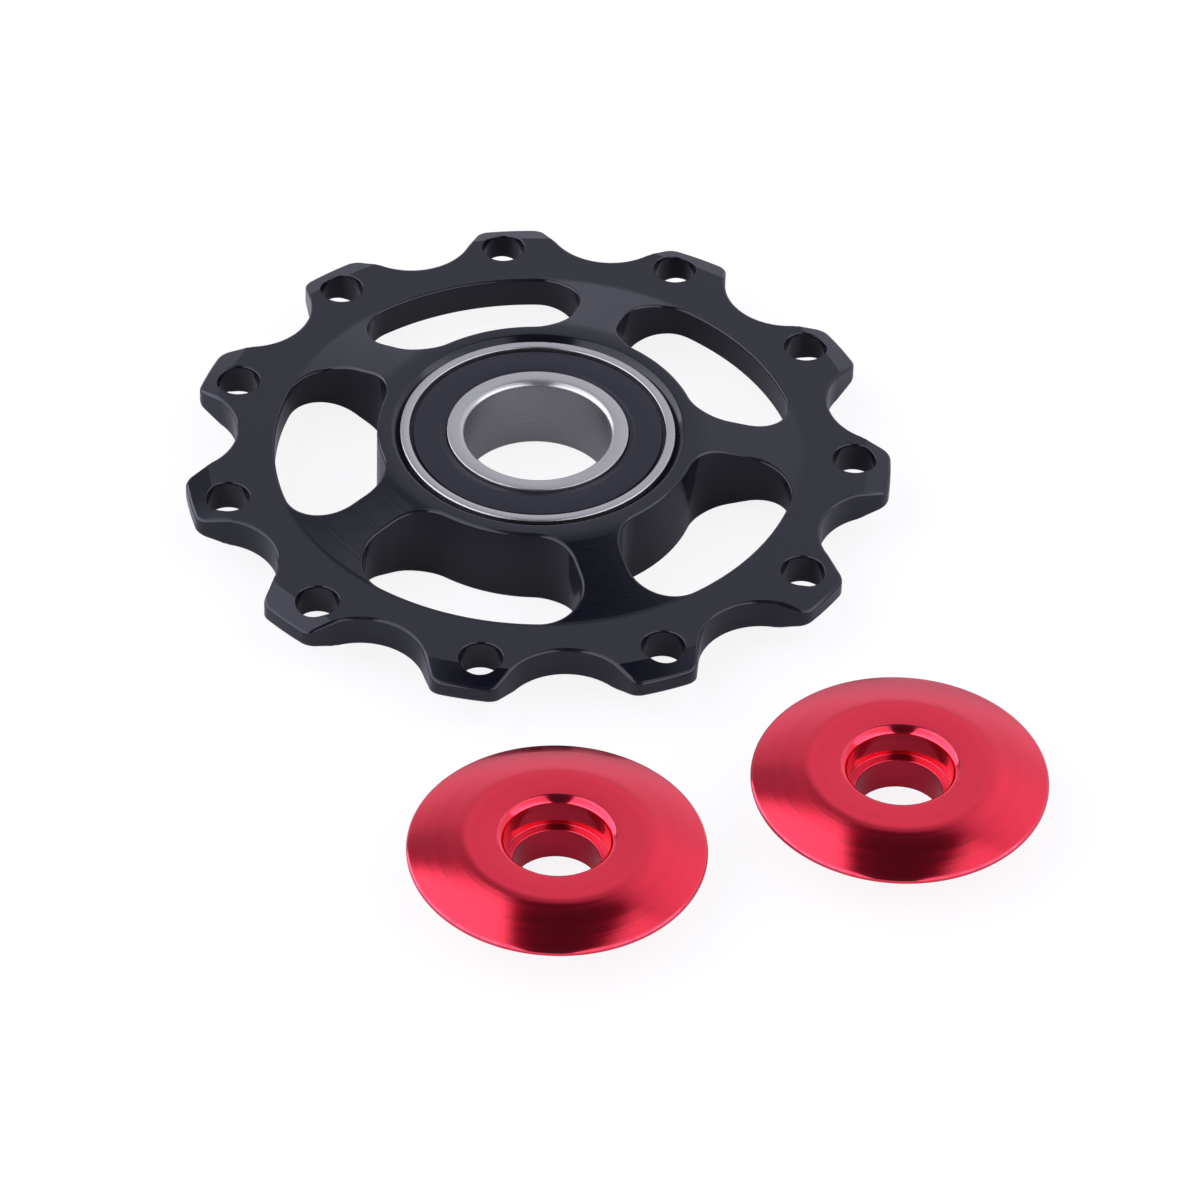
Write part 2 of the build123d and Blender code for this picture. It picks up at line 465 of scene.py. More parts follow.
# %% Rings
ring_half, bore_radius, ring_radius = 2.5, 4.5, 8.5
inner_shoulder, outer_shoulder = 5.6, 7.4
groove_half, groove_depth = 0.82, 0.3105
seat_radius, seat_height = 7.92, 1.95


def both_faces(radius):
    """A ring's corners at one radius, on its upper and its lower face."""
    return [(radius, ring_half), (radius, -ring_half)]


inner_ring = draw_section("inner_ring", [
    (inner_shoulder, ring_half), (bore_radius, ring_half), (bore_radius, -ring_half), (inner_shoulder, -ring_half),
    (inner_shoulder, -groove_half), (inner_shoulder, groove_half, -groove_depth),
])
break_corners(inner_ring, both_faces(bore_radius), size=0.36, steps=6)
break_corners(inner_ring, both_faces(inner_shoulder), size=0.05)
turn_on_lathe(inner_ring)

outer_ring = draw_section("outer_ring", [
    (ring_radius, ring_half), (seat_radius, ring_half), (seat_radius, seat_height), (outer_shoulder, seat_height),
    (outer_shoulder, groove_half), (outer_shoulder, -groove_half, -groove_depth), (outer_shoulder, -seat_height),
    (seat_radius, -seat_height), (seat_radius, -ring_half), (ring_radius, -ring_half),
])
break_corners(outer_ring, both_faces(ring_radius), size=0.1)
break_corners(outer_ring, both_faces(seat_radius), size=0.06)
turn_on_lathe(outer_ring)

# %% Seals
seal_radius, lip_radius = 7.91, 5.65
seal_face, lip_face, moat_floor = 2.35, 2.29, 2.12
face_outside, face_inside = (7.66, seal_face), (6.02, seal_face)
lip_corner = (lip_radius, lip_face)
top_seal = draw_section("top_seal", [
    (seal_radius, moat_floor), (7.72, moat_floor), face_outside, face_inside, (5.94, lip_face), lip_corner,
    (lip_radius, seat_height), (seal_radius, seat_height),
])
break_corners(top_seal, [face_outside, face_inside, lip_corner], size=0.035)
turn_on_lathe(top_seal)

bpy.ops.object.duplicate()
bottom_seal = bpy.context.object
bottom_seal.name = bottom_seal.data.name = "bottom_seal"
bpy.ops.object.mode_set(mode="EDIT")
bpy.ops.mesh.select_all(action="SELECT")
bpy.ops.transform.mirror(constraint_axis=(False, False, True), center_override=(0, 0, 0))
bpy.ops.mesh.normals_make_consistent()
shade_like_metal(bottom_seal, turned_sharp_angle)
print(bottom_seal.name, "mirrored from", top_seal.name)

# %% Seat the bearing
for piece, node, body, slot in (
    (inner_ring, "bearing_inner_ring", "fixed_set", "ring_steel"),
    (outer_ring, "bearing_outer_ring", "wheel", "ring_steel"),
    (top_seal, "upper_seal", "wheel", "seal_rubber"),
    (bottom_seal, "lower_seal", "wheel", "seal_rubber"),
):
    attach(piece, body)
    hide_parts(node)
    print(piece.name, "rides on", body)

# %% [markdown]
# ## The covers
# Each cover is turned from bar: a flat crown, a slightly domed bevel down to a thin rim, a stepped hole for the bolt,
# and underneath the neck that enters the bearing. One cover is drawn, turned and set in its place, and the other is a
# copy of it. The rounded edges matter most, because they catch the light all the way round: the rim, and the mouth of
# the hole, where a slightly round chamfer bends the picture of the dark opening into a small wedge.

# %% Section of a cover
cover_top, crown_radius, crown_edge = 4.2, 5.3, (5.8, 4.143)
mouth_radius, counterbore_radius, mouth_depth = 3.53, 3.14, 0.39
bolt_radius, step_height = 2.6, 2.16
neck_radius, neck_top, neck_chamfer = 4.48, 2.37, 0.15
shoulder_radius, cover_underside = 5.5, 2.87
cover_radius, rim_height = 8.868, 3.19
bevel_dome, crown_dome, mouth_bulge = 0.0597, 0.0143, 0.05

rim_under, rim_corner = (cover_radius, cover_underside), (cover_radius, rim_height)
mouth_corners = [(mouth_radius, cover_top), (counterbore_radius, cover_top - mouth_depth, mouth_bulge)]
bore_corners = [(counterbore_radius, step_height), (bolt_radius, step_height)]
cover_section = [
    (crown_radius, cover_top, crown_dome), *mouth_corners, *bore_corners, (bolt_radius, 0.0),
    (neck_radius - neck_chamfer, 0.0), (neck_radius, neck_chamfer), (neck_radius, neck_top),
    (shoulder_radius, neck_top), (shoulder_radius, cover_underside), rim_under, rim_corner, (*crown_edge, bevel_dome),
]
print("cover section:", len(cover_section), "corners")

# %% Turn the covers
cover_place = {}
for node in ("front_cover", "side_cover"):
    low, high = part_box(node)
    cover_place[node] = Vector(((low[0] + high[0]) / 2, (low[1] + high[1]) / 2, 0))

front_cap = draw_section("front_cap", cover_section)
break_corners(front_cap, [rim_corner], size=0.13, steps=4)
break_corners(front_cap, [rim_under], size=0.1)
break_corners(front_cap, mouth_corners, size=0.05)
break_corners(front_cap, bore_corners, size=0.05)
turn_on_lathe(front_cap, cover_place["front_cover"] + Vector((0, 0, table_height)))

bpy.ops.object.duplicate()
side_cap = bpy.context.object
side_cap.name = side_cap.data.name = "side_cap"
bpy.ops.transform.translate(value=tuple(cover_place["side_cover"] - cover_place["front_cover"]))
bpy.ops.object.transform_apply()

caps = ((front_cap, "front_cover"), (side_cap, "side_cover"))
for piece, node in caps:
    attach(piece, "fixed_set")
    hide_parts(node)
    print(piece.name, "at", [round(v / mm, 2) for v in cover_place[node]])

# %% [markdown]
# ## The toothed wheel
# The real wheel is cut from a turned aluminium blank: a mill drives round the tooth gaps and the windows, drills the
# holes, and a brush breaks the edges. Here too, a round blank gets rings at the radii where its
# section bends, cutters with flared mouths leave a rounded edge at each cut, and then the faces are lowered by radius
# to the hub, the coned web, the flat rim and the thin tips. Cutting while the blank is still flat keeps the broken edge
# equally wide everywhere, which a bevel on the finished cone could not do. The borders between walls, broken edges and
# the parts of the section are marked sharp, because smooth shading across them would draw rays round every hole.

# %% Section of the wheel
hub_half, hub_seat, land_radius, hub_round = 2.6, 8.51, 9.667, 4.0
cone_start, cone_foot, foot_rise, rim_start = 10.638, 16.2, 0.0376, 16.5
taper_start, tip_radius, tip_half = 20.38, 21.869, 0.52


def hub_round_height(radius):
    """The height of the arc that leads from the hub's flat land to the cone."""
    return hub_half - hub_round + math.sqrt(hub_round**2 - (radius - land_radius) ** 2)


def foot_height(radius):
    """The height of the small hollow in which the cone runs out into the rim."""
    return rim_half + foot_rise * ((rim_start - radius) / (rim_start - cone_foot)) ** 2


section = [
    (hub_seat, 2.1), (8.95, 2.54), (9.02, 2.588), (9.1, hub_half), (land_radius, hub_half),
    *((radius, hub_round_height(radius)) for radius in (9.96, 10.25, cone_start)),
    *((radius, foot_height(radius)) for radius in (cone_foot, 16.35, rim_start)),
    (taper_start, rim_half), (tip_radius, tip_half),
]
print("wheel section:", len(section), "points from radius", section[0][0], "to", section[-1][0])

# %% Blank
blank_steps = 220
edge_break = 0.16
bpy.ops.mesh.primitive_circle_add(
    vertices=blank_steps, radius=tip_radius * mm, fill_type="NGON", location=(0, 0, hub_half * mm)
)
wheel_body = bpy.context.object
wheel_body.name = wheel_body.data.name = "wheel_body"
bpy.ops.object.transform_apply()
bpy.ops.object.mode_set(mode="EDIT")
bpy.ops.mesh.select_all(action="SELECT")
for (outer, _), (inner, _) in zip(section[::-1], section[-2::-1]):
    bpy.ops.mesh.inset(thickness=(outer - inner) * math.cos(math.pi / blank_steps) * mm, depth=0)
bpy.ops.mesh.delete(type="FACE")
bpy.ops.mesh.select_all(action="SELECT")
bpy.ops.mesh.extrude_region_move(TRANSFORM_OT_translate={"value": (0, 0, -2 * hub_half * mm)})
bpy.ops.mesh.select_all(action="SELECT")
bpy.ops.mesh.normals_make_consistent()


def radius_of(point):
    """A point's distance from the axis, in mm."""
    return math.hypot(point.x, point.y) / mm


def on_outside(edge):
    """Whether an edge runs level round the outside of the blank."""
    start, end = (wheel_body.data.vertices[i].co for i in edge.vertices)
    return min(radius_of(start), radius_of(end)) > tip_radius - 0.01 and start.z == end.z


tip_edges = pick(wheel_body, "EDGE", on_outside)
bpy.ops.mesh.bevel(offset=edge_break * mm, segments=3, affect="EDGES")
bpy.ops.object.mode_set(mode="OBJECT")
print("blank:", len(wheel_body.data.polygons), "faces,", tip_edges, "tip edges broken")

# %% [markdown]
# ### The cutters
# Each cutter is the outline of one gap, window or hole, drawn at several heights and bridged into a solid. A margin
# makes the outline a little larger near the blank's faces: the arcs keep their centres and change their radius, so
# every flank stays tangent. A gap follows the chain's roller and runs straight up to a rounded tip, and a window
# leaves a short flat on the side of each spoke.

# %% Outline of a tooth gap
tooth_count, chain_pitch, roller_radius = 11, 12.7, 3.92
tip_width, tip_round = 3.88, 0.9
leave_before, clear_by, reach_past = math.radians(7), 0.4, 1.5
pitch_radius = chain_pitch / (2 * math.sin(math.pi / tooth_count))
tip_angle = math.pi / tooth_count - math.asin(tip_width / 2 / tip_radius)
roller_centre = Vector((pitch_radius, 0, 0))
to_tip = Matrix.Rotation(tip_angle, 3, "Z") @ Vector((tip_radius, 0, 0)) - roller_centre
flank_angle = math.atan2(to_tip.y, to_tip.x) + math.acos(roller_radius / to_tip.length)
across_flank = Vector((math.cos(flank_angle), math.sin(flank_angle), 0))
along_flank = Vector((across_flank.y, -across_flank.x, 0))
flank_foot = roller_centre + across_flank * (roller_radius + tip_round)
to_foot = -flank_foot.dot(along_flank)
to_corner = to_foot + math.sqrt(to_foot**2 - flank_foot.length_squared + (tip_radius - tip_round) ** 2)
corner_centre = flank_foot + along_flank * to_corner
leave_angle = math.atan2(corner_centre.y, corner_centre.x) - leave_before
flip_y = Matrix.Scale(-1, 3, Vector((0, 1, 0)))


def draw_gap(margin, height):
    """One tooth gap on +X: over the rounded tip, down the flank, round the roller, and out again."""
    lift = Vector((0, 0, height))
    leave = Vector((math.cos(leave_angle), math.sin(leave_angle), 0))
    on_tip = corner_centre + leave * (tip_round - margin)
    clear = on_tip + Vector((-leave.y, leave.x, 0)) * clear_by
    far = clear + clear.normalized() * reach_past
    sweep = leave_angle - (flank_angle - math.pi)
    start = roller_centre + across_flank * (roller_radius + margin)
    end = corner_centre - across_flank * (tip_round - margin)
    here = put_pencil((far + lift) * mm)
    here = line(here, (clear + lift) * mm)
    here = line(here, (on_tip + lift) * mm)
    here = arc(here, (corner_centre + lift) * mm, -sweep, steps=8)
    here = line(here, (start + lift) * mm)
    here = arc(here, (roller_centre + lift) * mm, 2 * (math.pi - flank_angle), steps=28)
    here = line(here, (flip_y @ end + lift) * mm)
    here = arc(here, (flip_y @ corner_centre + lift) * mm, -sweep, steps=8)
    here = line(here, (flip_y @ clear + lift) * mm)
    here = line(here, (flip_y @ far + lift) * mm)
    line(here, (far + lift) * mm)


print("flank at", round(math.degrees(flank_angle) - 90, 2), "degrees")

# %% Outline of a window
spoke_count, spoke_half = 5, 1.525
window_outer, window_inner, window_corner = 16.23, 9.91, 2.66
corner_off = spoke_half + window_corner
outer_along = math.sqrt((window_outer - window_corner) ** 2 - corner_off**2)
inner_along = math.sqrt((window_inner + window_corner) ** 2 - corner_off**2)
spoke_angle = math.pi / spoke_count
along_spoke = Vector((math.cos(spoke_angle), math.sin(spoke_angle), 0))
off_spoke = Vector((along_spoke.y, -along_spoke.x, 0))
outer_corner = along_spoke * outer_along + off_spoke * corner_off
inner_corner = along_spoke * inner_along + off_spoke * corner_off
outer_angle = math.atan2(outer_corner.y, outer_corner.x)
inner_angle = math.atan2(inner_corner.y, inner_corner.x)


def draw_window(margin, height):
    """One window on +X: outer arc, corner, spoke's side, corner, inner arc, and the same way back."""
    lift = Vector((0, 0, height))
    middle = lift * mm
    flat = along_spoke * (outer_along - inner_along)
    outer_turn = spoke_angle + math.pi / 2 - outer_angle
    inner_turn = inner_angle + math.pi / 2 - spoke_angle
    first = flip_y @ (outer_corner.normalized() * (window_outer + margin)) + lift
    here = put_pencil(first * mm)
    here = arc(here, middle, 2 * outer_angle, steps=24)
    here = arc(here, (outer_corner + lift) * mm, outer_turn, steps=18)
    here = line(here, here - flat * mm)
    here = arc(here, (inner_corner + lift) * mm, inner_turn, steps=14)
    here = arc(here, middle, -2 * inner_angle, steps=16)
    here = arc(here, (flip_y @ inner_corner + lift) * mm, inner_turn, steps=14)
    here = line(here, here + (flip_y @ flat) * mm)
    arc(here, (flip_y @ outer_corner + lift) * mm, outer_turn, steps=18)


print("window corners at", round(math.degrees(outer_angle), 2), "degrees")

# %% Outline of a hole
hole_radius, hole_place, hole_flare = 1.32, 19.599, 0.4


def draw_hole(margin, height):
    """One hole on +X, drawn all the way round. Its edge is broken less than the others."""
    centre = Vector((hole_place, 0, height)) * mm
    start = centre + Vector((hole_radius + hole_flare * margin, 0, 0)) * mm
    arc(put_pencil(start), centre, 2 * math.pi, steps=48)


print("holes of", 2 * hole_radius, "mm at radius", hole_place)

# %% Cutters with flared mouths
over = 0.02
mouth_slopes = [math.radians(slope) for slope in (60, 30, 0)]
flare = [(edge_break * (1 - math.cos(slope)), hub_half - edge_break * (1 - math.sin(slope))) for slope in mouth_slopes]
mouth = edge_break + over * (edge_break - flare[0][0]) / (hub_half - flare[0][1])
flare.insert(0, (mouth, hub_half + over))
levels = flare + [(margin, -height) for margin, height in reversed(flare)]


def lies_at(mesh, edge, *heights):
    """Whether an edge lies level at one of these heights."""
    ends = [mesh.vertices[i].co.z / mm for i in edge.vertices]
    return any(all(abs(end - height) < 0.001 for end in ends) for height in heights)


def make_cutter(name, draw):
    """Draw an outline at each level, bridge the levels and close the ends."""
    cutter = new_piece(name)
    for margin, height in levels:
        draw(margin, height)
    close_line()
    for (_, upper), (_, lower) in zip(levels, levels[1:]):
        pick(cutter, "EDGE", lambda e: lies_at(cutter.data, e, upper, lower))
        bpy.ops.mesh.bridge_edge_loops()
    for _, end in (levels[0], levels[-1]):
        pick(cutter, "EDGE", lambda e: lies_at(cutter.data, e, end))
        bpy.ops.mesh.edge_face_add()
    bpy.ops.mesh.select_all(action="SELECT")
    bpy.ops.mesh.normals_make_consistent()
    bpy.ops.object.mode_set(mode="OBJECT")
    print(name, "with", len(cutter.data.polygons), "faces")
    return cutter


gap_cutter = make_cutter("gap_cutter", draw_gap)
window_cutter = make_cutter("window_cutter", draw_window)
hole_cutter = make_cutter("hole_cutter", draw_hole)

# %% Set the cutters round the wheel
spoke_turn, hole_turn = 3.7, 1.8


def copy_round(cutter, count, first_degrees):
    """The cutter and its copies, turned to their places. With no window, rotate turns the other way."""
    copies = [cutter]
    for _ in range(count - 1):
        work_on(cutter)
        bpy.ops.object.duplicate()
        copies.append(bpy.context.object)
    for number, copy in enumerate(copies):
        work_on(copy)
        angle = math.radians(first_degrees + 360 * number / count)
        bpy.ops.transform.rotate(value=-angle, orient_axis="Z", center_override=(0, 0, 0))
        bpy.ops.object.transform_apply()
    return copies


cutters = copy_round(gap_cutter, tooth_count, 180 / tooth_count)
cutters += copy_round(window_cutter, spoke_count, spoke_turn + 180 / spoke_count)
cutters += copy_round(hole_cutter, tooth_count, hole_turn)
print(len(cutters), "cutters")

# %% Cut the blank
merge_gap = 0.0005
bpy.ops.object.select_all(action="DESELECT")
for cutter in cutters:
    cutter.select_set(True)
bpy.context.view_layer.objects.active = cutters[0]
bpy.ops.object.join()
cutter_set = bpy.context.object
work_on(wheel_body)
bpy.ops.object.modifier_add(type="BOOLEAN")
cut = wheel_body.modifiers[-1]
cut.operation = "DIFFERENCE"
cut.solver = "EXACT"
cut.object = cutter_set
bpy.ops.object.modifier_apply(modifier=cut.name)
bpy.data.objects.remove(cutter_set, do_unlink=True)
bpy.ops.object.mode_set(mode="EDIT")
bpy.ops.mesh.select_all(action="SELECT")
bpy.ops.mesh.remove_doubles(threshold=merge_gap * mm)
bpy.ops.mesh.dissolve_degenerate(threshold=merge_gap * mm)
bpy.ops.object.mode_set(mode="OBJECT")
print("cut wheel:", len(wheel_body.data.vertices), "points", len(wheel_body.data.polygons), "faces")

# %% Sort the faces
bends = (hub_seat, cone_foot, rim_start, taper_start)


def kind_of(face):
    """Wall, broken edge, or the part of the section that an upper or lower face belongs to."""
    upright = abs(face.normal.z)
    if upright < 0.02:
        return "wall"
    if upright < 0.98:
        return "edge"
    return sum(radius_of(face.center) > bend for bend in bends)


kinds = [kind_of(face) for face in wheel_body.data.polygons]
kinds_at = {}
for face, kind in zip(wheel_body.data.polygons, kinds):
    for key in face.edge_keys:
        kinds_at.setdefault(key, set()).add(kind)
edge_mark = wheel_body.data.attributes.new(EDGE_MARK, "FLOAT", "FACE")
edge_mark.data.foreach_set("value", [float(kind == "edge") for kind in kinds])
print("wheel faces:", kinds.count("wall"), "on walls,", kinds.count("edge"), "on broken edges")

# %% Lower the faces to the section
wheel_sharp_angle = 50


def face_height(radius):
    """The height of the wheel's upper face at a radius, along the straight runs of the section."""
    for (near, low), (far, high) in zip(section, section[1:]):
        if radius <= far:
            share = max(0.0, (radius - near) / (far - near))
            return low + (high - low) * share
    return section[-1][1]


for vertex in wheel_body.data.vertices:
    below = hub_half - abs(vertex.co.z) / mm
    vertex.co.z = math.copysign(face_height(radius_of(vertex.co)) - below, vertex.co.z) * mm
wheel_body.data.update()
creases = pick(wheel_body, "EDGE", lambda e: len(kinds_at[e.key]) > 1)
bpy.ops.mesh.mark_sharp()
shade_like_metal(wheel_body, wheel_sharp_angle)
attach(wheel_body, "wheel")
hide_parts("toothed_wheel")
print("wheel:", len(wheel_body.data.polygons), "faces,", creases, "creases")

# %% [markdown]
# ## Finishes
# Three effects come back on almost every surface: rings left by a turning tool, a fine grain, and paler edges, partly
# wear where a finish is thin and partly a painted highlight on the broken edges. Each is a node group, built once and
# placed in a material with its own values. The groups only give masks and heights, and each material keeps its own
# shader. All patterns are read from the place on the piece, so they stay put when the wheel turns.

# %% Turning marks


def noise(place, scale, detail, roughness=0.5, dimensions="3D"):
    """A Noise texture's value, 0 to 1, at a place."""
    node = place.id_data.nodes.new("ShaderNodeTexNoise")
    node.noise_dimensions = dimensions
    node.inputs["Scale"].default_value = scale
    node.inputs["Detail"].default_value = detail
    node.inputs["Roughness"].default_value = roughness
    feed(node.inputs["W" if dimensions == "1D" else "Vector"], place)
    return node.outputs[0]


def new_group(name, values, outputs):
    """A node group that takes a place and some values, with nothing in it yet but its two ends."""
    tree = bpy.data.node_groups.new(name, "ShaderNodeTree")
    tree.interface.new_socket(name="Place", in_out="INPUT", socket_type="NodeSocketVector")
    for socket, value in values.items():
        made = tree.interface.new_socket(name=socket, in_out="INPUT", socket_type="NodeSocketFloat")
        made.default_value = value
    for socket in outputs:
        tree.interface.new_socket(name=socket, in_out="OUTPUT", socket_type="NodeSocketFloat")
    return tree, tree.nodes.new("NodeGroupInput").outputs, tree.nodes.new("NodeGroupOutput").inputs


def from_axis(place):
    """A place's distance from the axis, and its height."""
    axes = place.id_data.nodes.new("ShaderNodeSeparateXYZ")
    feed(axes.inputs[0], place)
    square_x = calc("MULTIPLY", axes.outputs["X"], axes.outputs["X"])
    square = calc("MULTIPLY_ADD", axes.outputs["Y"], axes.outputs["Y"], square_x)
    return calc("SQRT", square), axes.outputs["Z"]


turning_marks, given, gives = new_group("turning_marks", {"Spacing": 0.1 * mm}, ["Height", "Tone"])
radius, height = from_axis(given["Place"])
ring_count = calc("DIVIDE", calc("MULTIPLY_ADD", height, 0.8, radius), given["Spacing"])
feed(gives["Height"], noise(ring_count, 1.0, 2.0, 0.6, "1D"))
feed(gives["Tone"], noise(ring_count, 0.23, 1.0, 0.5, "1D"))
print(turning_marks.name, len(turning_marks.nodes), "nodes")

# %% Fine grain
fine_grain, given, gives = new_group("fine_grain", {"Size": 0.1 * mm}, ["Height", "Tone", "Patches"])
scaled = fine_grain.nodes.new("ShaderNodeVectorMath")
scaled.operation = "SCALE"
feed(scaled.inputs[0], given["Place"])
feed(scaled.inputs["Scale"], calc("DIVIDE", 1.0, given["Size"]))
for name, *look in (("Height", 1.0, 3.0, 0.6), ("Tone", 0.35, 2.0), ("Patches", 0.04, 3.0)):
    feed(gives[name], noise(scaled.outputs[0], *look))
print(fine_grain.name, len(fine_grain.nodes), "nodes")

# %% Worn edges and painted highlight
# Paler broken edges: partly wear, partly a painted highlight along them.
edge_wear_and_highlight, given, gives = new_group("edge_wear_and_highlight", {"Edge": 0.0, "Amount": 0.5}, ["Mask"])
patchy = noise(given["Place"], 900.0, 4.0, 0.65)
rubbed = edge_wear_and_highlight.nodes.new("ShaderNodeClamp")
feed(rubbed.inputs[0], calc("MULTIPLY_ADD", patchy, 2.2, -0.55))
shown_edge = calc("MULTIPLY", rubbed.outputs[0], given["Edge"])
feed(gives["Mask"], calc("MULTIPLY", shown_edge, given["Amount"]))
print(edge_wear_and_highlight.name, len(edge_wear_and_highlight.nodes), "nodes")

# %% [markdown]
# ### Black anodising
# Anodised aluminium is not painted: a thin glassy oxide layer holds the dye, so the surface is nearly black with a
# clear satin gloss and a cold tint, and most of what the eye sees is reflected room. A dark base, a plain dielectric
# gloss and a fine grain give that. The mill leaves faint upright streaks on the walls, which the same grain gives when
# it is stretched along the axis. The lathe leaves rings on the coned web. The broken edges are paler, partly where the
# dye is thin and partly as a painted highlight.

# %% Material helpers


def new_material(name):
    """A material with a Principled shader, and the place on the piece."""
    made = bpy.data.materials.new(name)
    made.use_nodes = True
    tree = made.node_tree
    return made, tree.nodes["Principled BSDF"], tree.nodes.new("ShaderNodeTexCoord").outputs["Object"]


def place_group(group, place, **values):
    """One of the shared effects, with this material's own values."""
    node = place.id_data.nodes.new("ShaderNodeGroup")
    node.node_tree = group
    feed(node.inputs["Place"], place)
    for socket, value in values.items():
        feed(node.inputs[socket], value)
    return node.outputs


def blend_colours(share, first, second):
    """A Mix node for two colours, whose colour sockets are numbers 6 and 7."""
    node = share.id_data.nodes.new("ShaderNodeMix")
    node.data_type = "RGBA"
    for number, term in ((0, share), (6, first), (7, second)):
        feed(node.inputs[number], term)
    return node.outputs[2]


print("effects at hand:", [group.name for group in bpy.data.node_groups])

# %% Shader helpers


def bump(height, depth, strength):
    """A Bump node's normal, from a height and its depth in metres."""
    node = height.id_data.nodes.new("ShaderNodeBump")
    node.inputs["Strength"].default_value = strength
    node.inputs["Distance"].default_value = depth
    feed(node.inputs["Height"], height)
    return node.outputs["Normal"]


def edge_mark_at(place):
    """The mark that the modelling left on broken edges."""
    node = place.id_data.nodes.new("ShaderNodeAttribute")
    node.attribute_name = EDGE_MARK
    return node.outputs["Fac"]


def wire(shader, colour, rough, normal=None, metallic=0.0):
    """Lead a finish's colour, roughness and normal into its shader."""
    feed(shader.inputs["Base Color"], colour)
    feed(shader.inputs["Roughness"], rough)
    if normal is not None:
        feed(shader.inputs["Normal"], normal)
    feed(shader.inputs["Metallic"], metallic)


def dress(piece, *finishes):
    """Give a piece its finishes, the first of them all over."""
    piece.data.materials.clear()
    for finish in finishes:
        piece.data.materials.append(finish)
    print(piece.name, "gets", [finish.name for finish in finishes])


print("broken edges are read from", EDGE_MARK)

# %% Black anodising
# The paler edge colour is partly wear, partly a painted highlight on the broken edges.
black_deep, black_thin, black_edge_wear_and_highlight = (0.0016, 0.0017, 0.0048), (0.0032, 0.0033, 0.0072), (0.07, 0.07, 0.09)
black_anodised, shader, place = new_material("black_anodised")
stretch = place.id_data.nodes.new("ShaderNodeMapping")
stretch.inputs["Scale"].default_value = (1, 1, 0.12)
feed(stretch.inputs["Vector"], place)
grain = place_group(fine_grain, stretch.outputs[0], Size=0.3 * mm)
wear_and_highlight = place_group(edge_wear_and_highlight, place, Edge=edge_mark_at(place), Amount=0.12)
dye = blend_colours(grain["Patches"], black_deep, black_thin)
# Paler broken edges: partly wear, partly a painted highlight.
colour = blend_colours(wear_and_highlight["Mask"], dye, black_edge_wear_and_highlight)

marks = place_group(turning_marks, place, Spacing=0.18 * mm)
radius, _ = from_axis(place)
on_cone = rest_of(soft_step(radius, (rim_start - 0.2) * mm, (rim_start - 0.1) * mm))
rings = calc("MULTIPLY", calc("MULTIPLY", marks["Height"], grain["Tone"]), on_cone)
satin = vary(grain["Tone"], 0.11, 0.18)
rough = calc("MULTIPLY_ADD", rings, 0.06, satin)
relief = calc("MULTIPLY_ADD", rings, 16.0, grain["Height"])
wire(shader, colour, rough, bump(relief, 0.005 * mm, 0.06))
shader.inputs["IOR"].default_value = 1.5
dress(wheel_body, black_anodised)

# %% [markdown]
# ### Red anodising
# The covers are the same oxide over bright turned metal: the light goes through red glass, bounces off the metal and
# comes back, so the colour is metallic, and a clear gloss on top turns white at a shallow angle. A metallic base under
# a clear coat does both. A Mapping node centres the tool's rings on each cover, so each cover has its own copy of the
# material. Inside the hole the colour is darkened as painted shade, and the drill's step is rougher and shaded too.

# %% Red anodising
# The paler edge colour is partly wear, partly a painted highlight on the broken edges.
red_edge_wear_and_highlight = (0.95, 0.16, 0.22)
red_finishes = {
    "red_anodised": ((0.90, 0.010, 0.038), (0.98, 0.017, 0.056), 0.09, 0.15),
    # The bore's and its step's darker colours are painted shade inside the hole; the step is also rougher.
    "red_bore_painted_shade": ((0.62, 0.010, 0.042), (0.78, 0.018, 0.070), 0.12, 0.20),
    "red_step_painted_shade": ((0.70, 0.011, 0.046), (0.86, 0.019, 0.072), 0.18, 0.24),
}


def red_anodised_at(name, centre, deep, bright, rough_low, rough_high):
    """The red finish between two colours, with its turning marks centred on one cover."""
    made, shader, place = new_material(name)
    centred = place.id_data.nodes.new("ShaderNodeMapping")
    centred.inputs["Location"].default_value = (-centre.x, -centre.y, 0)
    feed(centred.inputs["Vector"], place)
    marks = place_group(turning_marks, centred.outputs[0], Spacing=0.11 * mm)
    grain = place_group(fine_grain, centred.outputs[0], Size=0.35 * mm)
    wear_and_highlight = place_group(edge_wear_and_highlight, centred.outputs[0], Edge=edge_mark_at(place), Amount=0.35)
    dye = blend_colours(marks["Tone"], deep, bright)
    # Paler broken edges: partly wear, partly a painted highlight.
    colour = blend_colours(wear_and_highlight["Mask"], dye, red_edge_wear_and_highlight)
    rough = calc("MULTIPLY_ADD", grain["Tone"], 0.04, vary(marks["Tone"], rough_low, rough_high))
    waves = calc("MULTIPLY_ADD", marks["Tone"], 4.0, marks["Height"])
    wire(shader, colour, rough, bump(waves, 0.0018 * mm, 0.8), metallic=1.0)
    shader.inputs["Coat Weight"].default_value = 0.78
    shader.inputs["Coat Roughness"].default_value = 0.08
    return made


for piece, node in caps:
    dress(piece, *(red_anodised_at(f"{name}_{node}", cover_place[node], *look) for name, look in red_finishes.items()))

# %% Paint shade into the bores
bore_slot, step_slot = 1, 2


def give_faces(piece, slot, test):
    """Put one of a piece's finishes on the faces that pass a test."""
    work_on(piece)
    picked = pick(piece, "FACE", test)
    piece.active_material_index = slot
    bpy.ops.object.material_slot_assign()
    bpy.ops.object.mode_set(mode="OBJECT")
    return picked


for piece, node in caps:
    centre = cover_place[node]
    # The faces in the hole take the darker colours of painted shade.
    inside = give_faces(piece, bore_slot, lambda f: radius_of(f.center - centre) < counterbore_radius + 0.005)
    step = give_faces(piece, step_slot, lambda f: f.material_index == bore_slot and f.normal.z > 0.9)
    print(piece.name, inside, "faces in the bore,", step, "on its step")
